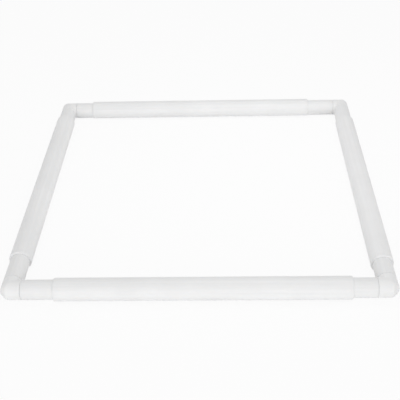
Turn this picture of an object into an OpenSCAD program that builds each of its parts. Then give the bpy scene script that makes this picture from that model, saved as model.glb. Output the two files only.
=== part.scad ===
// Square embroidery frame with clip-on clamps.
// Four plain tubes are joined at the corners by push-in elbows. A C-shaped clamp clips
// over each tube and traps the edge of the cloth against it.
// Origin: the middle of the frame, on the table. +X is right, +Y is back, +Z is up.

/* [Frame] */
// Width over the outsides of the left and right tubes
frame_w = 432; // [280:1:900]
// Depth over the outsides of the front and back tubes
frame_d = 432; // [280:1:900]

/* [Tubes] */
// Outside diameter of the tubes and of the elbows
tube_od = 22; // [18:0.5:28]
// Wall of the tubes
tube_wall = 2.2; // [1.6:0.1:3]
// Chamfer round the outside of each tube end and elbow shoulder
edge_chamfer = 0.4; // [0.2:0.1:0.8]
// Chamfer round the bore at each tube end
mouth_chamfer = 0.6; // [0.2:0.1:1]

/* [Elbows] */
// Straight collar between the inside corner of the elbow and its shoulder
collar_len = 1; // [0.9:0.1:12]
// Seam between the shoulder and the tube end when the joint is pushed home
seam_gap = 0.2; // [0.1:0.05:0.8]
// Length of spigot inside the tube
spigot_len = 23; // [16:1:50]
// Wall of the hollow spigot
spigot_wall = 2.2; // [1.6:0.1:3]
// Radial gap between the core of the spigot and the bore of the tube
spigot_gap = 0.4; // [0.2:0.05:0.8]
// Number of grip ribs round each spigot
rib_count = 6; // [4:1:10]
// Width of a grip rib
rib_w = 1.6; // [0.8:0.1:2.4]
// Radial clearance of the grip ribs in the bore of the tube
rib_clearance = 0.05; // [0.02:0.01:0.1]
// Length of the tapered lead-in at the tip of the spigot
lead_len = 4; // [2:0.5:8]
// Radial depth of the lead-in taper
lead_depth = 0.9; // [0.4:0.1:1.4]
// Depth of the facet across the outer corner, below the point where the two arms would meet
facet_cut = 5; // [4:0.25:6.5]
// Radius that the facet is bowed to from top to bottom
facet_r = 15; // [13:0.5:30]
// How far the ball that rounds the facet's edges stands outside the tube's radius
facet_crown = 0.5; // [0.3:0.05:0.6]

/* [Clamps] */
// Wall of the clamps
clamp_wall = 1.85; // [1.2:0.05:3]
// Angle round the tube that a clamp wraps
clamp_wrap_angle = 254; // [200:1:290]
// Radial clearance between the clamp's bore and the tube
clamp_clearance = 0.05; // [0.02:0.01:0.1]
// Bare tube left at each end of a centred clamp
clamp_bare = 30.8; // [12:0.1:80]
// Length of the bevel at each end of a clamp
bevel_len = 1.2; // [0.6:0.1:4]
// Wall that the bevel leaves at the end of a clamp
bevel_land = 1; // [0.3:0.1:1.1]
// Shift of the front clamp to the right
front_shift = 4.5; // [-10:0.5:10]
// Shift of the back clamp to the right
back_shift = -6.5; // [-10:0.5:10]
// Shift of the left clamp to the back
left_shift = 6.5; // [-10:0.5:10]
// Shift of the right clamp to the back
right_shift = -4.5; // [-10:0.5:10]

/* [Hidden] */

// Fineness of the round surfaces
$fn = 96;
// How far cutting bodies run past what they cut
overrun = 1;

tube_r = tube_od / 2;
bore_r = tube_r - tube_wall;
// Places of the tube axes
axis_x = frame_w / 2 - tube_r;
axis_y = frame_d / 2 - tube_r;
// From the crossing of two tube axes to the shoulder of the elbow there
elbow_arm = tube_r + collar_len;
tube_x_len = 2 * (axis_x - elbow_arm - seam_gap);
tube_y_len = 2 * (axis_y - elbow_arm - seam_gap);

core_r = bore_r - spigot_gap;
rib_r = bore_r - rib_clearance;
spigot_bore_r = core_r - spigot_wall;
// Crossing of the tube axes to the tip of the spigot
spigot_reach = elbow_arm + seam_gap + spigot_len;
// How far each bore of an elbow runs past the crossing, so that the two meet
bore_overrun = spigot_bore_r / 2;
// Crossing of the tube axes to the middle of the facet
facet_reach = sqrt(2) * tube_r - facet_cut;

clamp_bore_r = tube_r + clamp_clearance;
clamp_r = clamp_bore_r + clamp_wall;
clamp_x_len = tube_x_len - 2 * clamp_bare;
clamp_y_len = tube_y_len - 2 * clamp_bare;

// Colours of the moulded and the extruded plastic
tube_colour = [0.92, 0.92, 0.90];
elbow_colour = [0.94, 0.94, 0.93];
clamp_colour = [0.95, 0.95, 0.94];

// Each rail's shapes are drawn along X about the tube axis, with the outside of the
// frame towards -Y, and then put in their place.
module on_front() { translate([0, -axis_y, tube_r]) children(); }
module on_back() { translate([0, axis_y, tube_r]) rotate([0, 0, 180]) children(); }
module on_left() { translate([-axis_x, 0, tube_r]) rotate([0, 0, -90]) children(); }
module on_right() { translate([axis_x, 0, tube_r]) rotate([0, 0, 90]) children(); }

// A profile of [radius, distance] points, turned about X from the given start
module turned_along_x(profile, start) {
    translate([start, 0, 0]) rotate([0, 90, 0]) rotate_extrude() polygon(profile);
}

// Tube: cut square, with both edges of each end broken
module tube(len) {
    far = len - edge_chamfer;
    mouth_r = bore_r + mouth_chamfer;
    turned_along_x([
        [mouth_r, 0],
        [tube_r - edge_chamfer, 0],
        [tube_r, edge_chamfer],
        [tube_r, far],
        [tube_r - edge_chamfer, len],
        [mouth_r, len],
        [bore_r, len - mouth_chamfer],
        [bore_r, mouth_chamfer],
    ], -len / 2);
}

// The same shape along Y in place of X
module swap_xy() { mirror([1, -1, 0]) children(); }

// Rod along X to the elbow's shoulder, with the shoulder's edge broken
module rod(start) {
    len = elbow_arm - start;
    turned_along_x([
        [0, 0],
        [tube_r, 0],
        [tube_r, len - edge_chamfer],
        [tube_r - edge_chamfer, len],
        [0, len],
    ], start);
}

// Bowed facet: a rod across the corner, with its outer side on the facet
module facet_rod() {
    rotate([0, 0, 45])
        translate([facet_r - facet_reach, 0, 0])
            rotate([90, 0, 0])
                cylinder(r = facet_r, h = 4 * tube_r, center = true);
}

// Corner: where two crossing rods meet, cut by the facet and with its edges rounded off
// by a ball, and an arm that runs on from it each way
module faceted_corner() {
    back = -tube_r - overrun;
    intersection() {
        rod(back);
        swap_xy() rod(back);
        facet_rod();
        sphere(r = tube_r + facet_crown);
    }
    rod(0);
    swap_xy() rod(0);
}

// Spigot along X: a core with a tapered tip, and ribs that grip the tube's bore
module spigot() {
    len = spigot_reach - elbow_arm + overrun;
    taper = len - lead_len;
    start = elbow_arm - overrun;
    turned_along_x([
        [0, 0],
        [core_r, 0],
        [core_r, taper],
        [core_r - lead_depth, len],
        [0, len],
    ], start);
    intersection() {
        turned_along_x([
            [0, 0],
            [rib_r, 0],
            [rib_r, taper],
            [core_r - lead_depth, len],
            [0, len],
        ], start);
        for (i = [0:rib_count - 1])
            rotate([i * 360 / rib_count, 0, 0])
                translate([start, -rib_w / 2, 0])
                    cube([len, rib_w, tube_r]);
    }
}

module spigot_bore() {
    translate([-bore_overrun, 0, 0])
        rotate([0, 90, 0])
            cylinder(r = spigot_bore_r, h = bore_overrun + spigot_reach + overrun);
}

// Elbow with its corner at the origin and its arms along +X and +Y
module elbow() {
    difference() {
        union() {
            faceted_corner();
            spigot();
            swap_xy() spigot();
        }
        spigot_bore();
        swap_xy() spigot_bore();
    }
}

module at_corner(side_x, side_y, turn) {
    translate([side_x * axis_x, side_y * axis_y, tube_r]) rotate([0, 0, turn]) children();
}

// Section of a clamp: a C that opens downwards, with rounded lips
module clamp_section() {
    half = clamp_wrap_angle / 2;
    reach = 2 * clamp_r;
    lip_r = clamp_wall / 2;
    difference() {
        circle(r = clamp_r);
        circle(r = clamp_bore_r);
        polygon([
            [0, 0],
            [-reach * sin(half), reach * cos(half)],
            [-reach, -reach],
            [reach, -reach],
            [reach * sin(half), reach * cos(half)],
        ]);
    }
    for (side = [-1, 1])
        translate((clamp_bore_r + lip_r) * [side * sin(half), cos(half)])
            circle(r = lip_r);
}

// Clamp: the section run along X, with its outer edge bevelled at both ends
module clamp(len) {
    land_r = clamp_bore_r + bevel_land;
    intersection() {
        rotate([90, 0, 90])
            linear_extrude(height = len, center = true) clamp_section();
        turned_along_x([
            [0, 0],
            [land_r, 0],
            [clamp_r, bevel_len],
            [clamp_r, len - bevel_len],
            [land_r, len],
            [0, len],
        ], -len / 2);
    }
}

module front_tube() { color(tube_colour) on_front() tube(tube_x_len); }
module back_tube() { color(tube_colour) on_back() tube(tube_x_len); }
module left_tube() { color(tube_colour) on_left() tube(tube_y_len); }
module right_tube() { color(tube_colour) on_right() tube(tube_y_len); }

module front_left_elbow() { color(elbow_colour) at_corner(-1, -1, 0) elbow(); }
module front_right_elbow() { color(elbow_colour) at_corner(1, -1, 90) elbow(); }
module back_left_elbow() { color(elbow_colour) at_corner(-1, 1, -90) elbow(); }
module back_right_elbow() { color(elbow_colour) at_corner(1, 1, 180) elbow(); }

module front_clamp() {
    color(clamp_colour) translate([front_shift, 0, 0]) on_front() clamp(clamp_x_len);
}
module back_clamp() {
    color(clamp_colour) translate([back_shift, 0, 0]) on_back() clamp(clamp_x_len);
}
module left_clamp() {
    color(clamp_colour) translate([0, left_shift, 0]) on_left() clamp(clamp_y_len);
}
module right_clamp() {
    color(clamp_colour) translate([0, right_shift, 0]) on_right() clamp(clamp_y_len);
}

front_tube();
back_tube();
left_tube();
right_tube();
front_left_elbow();
front_right_elbow();
back_left_elbow();
back_right_elbow();
front_clamp();
back_clamp();
left_clamp();
right_clamp();
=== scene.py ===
"""Square embroidery frame of white plastic tube, dressed and lit as in a plain studio shot."""
import math

import bpy
from mathutils import Matrix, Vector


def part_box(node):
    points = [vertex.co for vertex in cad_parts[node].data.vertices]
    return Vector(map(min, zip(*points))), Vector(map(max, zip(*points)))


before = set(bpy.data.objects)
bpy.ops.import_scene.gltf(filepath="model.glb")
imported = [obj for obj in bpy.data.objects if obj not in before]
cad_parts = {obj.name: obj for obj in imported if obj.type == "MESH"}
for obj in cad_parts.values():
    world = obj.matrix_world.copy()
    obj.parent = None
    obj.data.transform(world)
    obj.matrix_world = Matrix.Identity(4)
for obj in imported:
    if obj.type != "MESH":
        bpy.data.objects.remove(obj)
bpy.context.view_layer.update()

# Extruded pieces, and the axis that the lines of the extrusion run along. The others are moulded.
EXTRUDED = {
    "front_tube": "x",
    "back_tube": "x",
    "left_tube": "y",
    "right_tube": "y",
    "front_clamp": "x",
    "back_clamp": "x",
    "left_clamp": "y",
    "right_clamp": "y",
}

# Grey level of the plastic of each kind of piece, and how much darker it is in dull patches
# and in streaks
PLASTIC_LEVELS = {"tube": 0.9, "clamp": 0.91, "elbow": 0.905}
DULL_DROP = 0.035
STREAK_DROP = 0.07
# Share of the streaks, and scale of their noise along the extrusion, where 1 is as across it
STREAK_SHARE = 0.6
ALONG_SCALE = 0.012
# Specks in the plastic: cells to the metre that hold one each, radius, grey level and share
SPECK_CELLS = 48.0
SPECK_RADIUS = 0.0007
SPECK_LEVEL = 0.45
SPECK_SHARE = 0.45
# Rubbed stretch at each end of a piece: its length, and the share of its patches
RUBBED_LENGTH = 0.007
RUBBED_SHARE = 0.5
# Line on the elbows where the mould parted: its height, and its width to each side of that
PARTING_HEIGHT = 0.011
PARTING_WIDTH = 0.0003
# Strength and depth of the fine relief
LINES_BUMP = (0.25, 0.0001)
GRAIN_BUMP = (0.2, 0.0001)
PARTING_BUMP = (0.6, 0.0002)
# Roughness where the plastic is least and most worn, and what scuffs add to it
WEAR_ROUGHNESS = (0.5, 0.6)
SCUFF_ROUGHNESS = 0.16

# Camera, fitted to the outlines of the four rails in the photograph
CAMERA_PLACE = (0.0301, -0.8425, 0.5721)
CAMERA_PITCH = 34.83
CAMERA_YAW = 2.25
CAMERA_ROLL = -1.87
CAMERA_LENS = 70.05

# Floor: how far it runs each way from the middle, and its grey level
FLOOR_REACH = 12.0
FLOOR_LEVEL = 0.93
# Strength of the studio's light at the horizon and overhead
WALL_LEVEL = 0.71
CEILING_LEVEL = 0.65
# Share of plain white in what the camera sees of the floor and the studio
SHOWN_WHITE = 0.9
SOFTBOXES = {
    "front_softbox": {"place": (0.0, -1.7, 0.35), "size": (1.8, 0.7), "power": 7.7},
    "top_softbox": {"place": (0.1, 0.05, 0.45), "size": (0.3, 0.3), "power": 0.41},
}


def grey(level):
    return (level, level, level, 1)


class Nodes:
    """The node tree of a material or a world, with short calls to add and join nodes."""

    def __init__(self, owner):
        self.owner = owner
        owner.use_nodes = True
        self.tree = owner.node_tree
        self.tree.nodes.clear()

    def add(self, kind, **settings):
        node = self.tree.nodes.new("ShaderNode" + kind)
        for key, value in settings.items():
            setattr(node, key, value)
        return node

    def feed(self, socket, value):
        """Joins the input to another node's output, or sets it to a plain value."""
        if isinstance(value, bpy.types.NodeSocket):
            self.tree.links.new(value, socket)
        else:
            socket.default_value = value

    def put(self, node, **values):
        """Feeds the node's inputs, named with _ for a space."""
        for key, value in values.items():
            self.feed(node.inputs[key.replace("_", " ")], value)
        return node

    def stretched(self, scale):
        """Object coordinates, scaled on each axis."""
        place = self.add("TexCoord").outputs["Object"]
        return self.put(self.add("Mapping"), Vector=place, Scale=scale).outputs["Vector"]

    def noise(self, scale, detail=3.0, roughness=0.5, vector=(1, 1, 1)):
        node = self.put(self.add("TexNoise"), Vector=self.stretched(vector), Scale=scale)
        return self.put(node, Detail=detail, Roughness=roughness).outputs["Fac"]

    def ramp(self, factor, *stops):
        """A colour ramp from one (place, grey level) stop to the other."""
        node = self.put(self.add("ValToRGB"), Fac=factor)
        for element, (place, level) in zip(node.color_ramp.elements, stops):
            element.position = place
            element.color = grey(level)
        return node.outputs["Color"]

    def maths(self, operation, *values):
        node = self.add("Math", operation=operation)
        for socket, value in zip(node.inputs, values):
            self.feed(socket, value)
        return node.outputs[0]

    def mix(self, factor, a, b):
        """A mix of two colours, whose sockets come after those of the other data types."""
        node = self.add("Mix", data_type="RGBA")
        for index, value in ((0, factor), (6, a), (7, b)):
            self.feed(node.inputs[index], value)
        return node.outputs[2]

    def bump(self, height, strength, distance, **normal):
        node = self.put(self.add("Bump"), Height=height, Strength=strength, Distance=distance)
        return self.put(node, **normal).outputs["Normal"]

    def faded(self, distance, reach):
        """1 where the distance is 0, down to 0 at the reach and beyond."""
        fade = self.put(self.add("MapRange"), Value=distance, From_Min=0.0, From_Max=reach)
        return self.put(fade, To_Min=1.0, To_Max=0.0).outputs[0]

    def place_on(self, axis):
        place = self.add("TexCoord").outputs["Object"]
        return self.put(self.add("SeparateXYZ"), Vector=place).outputs[axis]

    def parting_line(self):
        height = self.maths("SUBTRACT", self.place_on("Z"), PARTING_HEIGHT)
        return self.faded(self.maths("ABSOLUTE", height), PARTING_WIDTH)

    def specks(self):
        """Small round specks, far apart."""
        place = self.stretched((1, 1, 1))
        cells = self.put(self.add("TexVoronoi"), Vector=place, Scale=SPECK_CELLS)
        return self.faded(cells.outputs["Distance"], SPECK_RADIUS * SPECK_CELLS)

    def rubbed_ends(self, box):
        """Patches that grow towards the ends of the piece's longest side."""
        low, high = box
        sides = [b - a for a, b in zip(low, high)]
        axis = sides.index(max(sides))
        place = self.place_on("XYZ"[axis])
        from_low = self.maths("SUBTRACT", place, low[axis])
        from_high = self.maths("SUBTRACT", high[axis], place)
        near = self.faded(self.maths("MINIMUM", from_low, from_high), RUBBED_LENGTH)
        blotches = self.noise(120.0, detail=4.0, roughness=0.7)
        return self.maths("MULTIPLY", near, self.ramp(blotches, (0.4, 0.0), (0.6, 1.0)))

    def finish(self, shader, output="OutputMaterial"):
        self.put(self.add(output), Surface=shader)
        return self.owner


def plastic(name, level, box, line_axis=None):
    """White rigid plastic, with drawn lines along the axis, or else with a moulded grain."""
    n = Nodes(bpy.data.materials.new(name))
    light, dull, streaked = grey(level), grey(level - DULL_DROP), grey(level - STREAK_DROP)
    mottle = n.noise(24.0, detail=4.0)
    tint = n.mix(n.ramp(mottle, (0.35, 0.0), (0.65, 1.0)), dull, light)
    if line_axis:
        along = (ALONG_SCALE, 1, 1) if line_axis == "x" else (1, ALONG_SCALE, 1)
        streaks = n.noise(210.0, detail=3.0, roughness=0.6, vector=along)
        streaks = n.maths("MULTIPLY", n.ramp(streaks, (0.36, 1.0), (0.55, 0.0)), STREAK_SHARE)
        tint = n.mix(streaks, tint, streaked)
        lines = n.noise(800.0, detail=4.0, roughness=0.7, vector=along)
        normal = n.bump(lines, *LINES_BUMP)
    else:
        normal = n.bump(n.noise(2600.0, detail=2.0), *GRAIN_BUMP)
        normal = n.bump(n.parting_line(), *PARTING_BUMP, Normal=normal)
    tint = n.mix(n.maths("MULTIPLY", n.specks(), SPECK_SHARE), tint, grey(SPECK_LEVEL))
    tint = n.mix(n.maths("MULTIPLY", n.rubbed_ends(box), RUBBED_SHARE), tint, streaked)
    wear = n.noise(60.0, detail=6.0, roughness=0.7)
    scuffs = n.noise(90.0, detail=5.0, roughness=0.8, vector=(1, 1, 6))
    smooth, worn = WEAR_ROUGHNESS
    wear = n.ramp(wear, (0.35, smooth), (0.65, worn))
    rough = n.maths("ADD", wear, n.ramp(scuffs, (0.6, 0.0), (0.72, SCUFF_ROUGHNESS)))
    shader = n.put(n.add("BsdfPrincipled"), Base_Color=tint, Roughness=rough, Normal=normal)
    n.put(shader, IOR=1.53, Specular_IOR_Level=0.5)
    n.put(shader, Subsurface_Weight=0.1, Subsurface_Radius=(1.0, 0.9, 0.8), Subsurface_Scale=0.002)
    return n.finish(shader.outputs[0])


def dress_frame():
    """Gives each node a plastic of its own, since its rubbed ends are at its own place."""
    for name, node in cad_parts.items():
        kind = name.split("_")[-1]
        slot = f"{name}_plastic"
        material = plastic(slot, PLASTIC_LEVELS[kind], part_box(name), EXTRUDED.get(name))
        node.data.materials.clear()
        node.data.materials.append(material)


def add_camera():
    data = bpy.data.cameras.new("camera")
    data.lens = CAMERA_LENS
    camera = bpy.data.objects.new("camera", data)
    turn = (
        Matrix.Rotation(math.radians(CAMERA_YAW), 4, "Z")
        @ Matrix.Rotation(math.radians(90 - CAMERA_PITCH), 4, "X")
        @ Matrix.Rotation(math.radians(CAMERA_ROLL), 4, "Z")
    )
    camera.matrix_world = Matrix.Translation(CAMERA_PLACE) @ turn
    bpy.context.scene.collection.objects.link(camera)
    bpy.context.scene.camera = camera


def shown_white(n, lit, white_kind):
    """The given shader for light, with white mixed in for what the camera sees."""
    rays = n.add("LightPath")
    seen = n.maths("MAXIMUM", rays.outputs["Is Camera Ray"], rays.outputs["Is Glossy Ray"])
    seen = n.maths("MAXIMUM", seen, rays.outputs["Is Transmission Ray"])
    white = n.put(n.add(white_kind), Color=grey(1), Strength=1.0)
    mixed = n.add("MixShader")
    share = n.maths("MULTIPLY", seen, SHOWN_WHITE)
    for socket, value in zip(mixed.inputs, (share, lit, white.outputs[0])):
        n.feed(socket, value)
    return mixed.outputs[0]


def add_floor():
    mesh = bpy.data.meshes.new("floor")
    turns = ((-1, -1), (1, -1), (1, 1), (-1, 1))
    corners = [(x * FLOOR_REACH, y * FLOOR_REACH, 0) for x, y in turns]
    mesh.from_pydata(corners, [], [(0, 1, 2, 3)])
    floor = bpy.data.objects.new("floor", mesh)
    n = Nodes(bpy.data.materials.new("floor_paper"))
    diffuse = n.put(n.add("BsdfDiffuse"), Color=grey(FLOOR_LEVEL))
    mesh.materials.append(n.finish(shown_white(n, diffuse.outputs[0], "Emission")))
    bpy.context.scene.collection.objects.link(floor)


def add_studio():
    """World light that changes from the horizon to overhead."""
    world = bpy.data.worlds.new("studio")
    bpy.context.scene.world = world
    n = Nodes(world)
    way = n.put(n.add("SeparateXYZ"), Vector=n.add("TexCoord").outputs["Generated"])
    sky = n.put(n.add("MapRange"), Value=way.outputs["Z"])
    n.put(sky, To_Min=WALL_LEVEL, To_Max=CEILING_LEVEL)
    lit = n.put(n.add("Background"), Color=grey(1), Strength=sky.outputs[0])
    n.finish(shown_white(n, lit.outputs[0], "Background"), "OutputWorld")


def add_softboxes():
    """Soft boxes that face the middle of the frame."""
    for name, box in SOFTBOXES.items():
        data = bpy.data.lights.new(name, "AREA")
        data.shape = "RECTANGLE"
        data.size, data.size_y = box["size"]
        data.energy = box["power"]
        lamp = bpy.data.objects.new(name, data)
        lamp.location = box["place"]
        lamp.rotation_euler = (-lamp.location).to_track_quat("-Z", "Y").to_euler()
        bpy.context.scene.collection.objects.link(lamp)


dress_frame()
add_camera()
add_floor()
add_studio()
add_softboxes()
bpy.context.scene.view_settings.view_transform = "Standard"
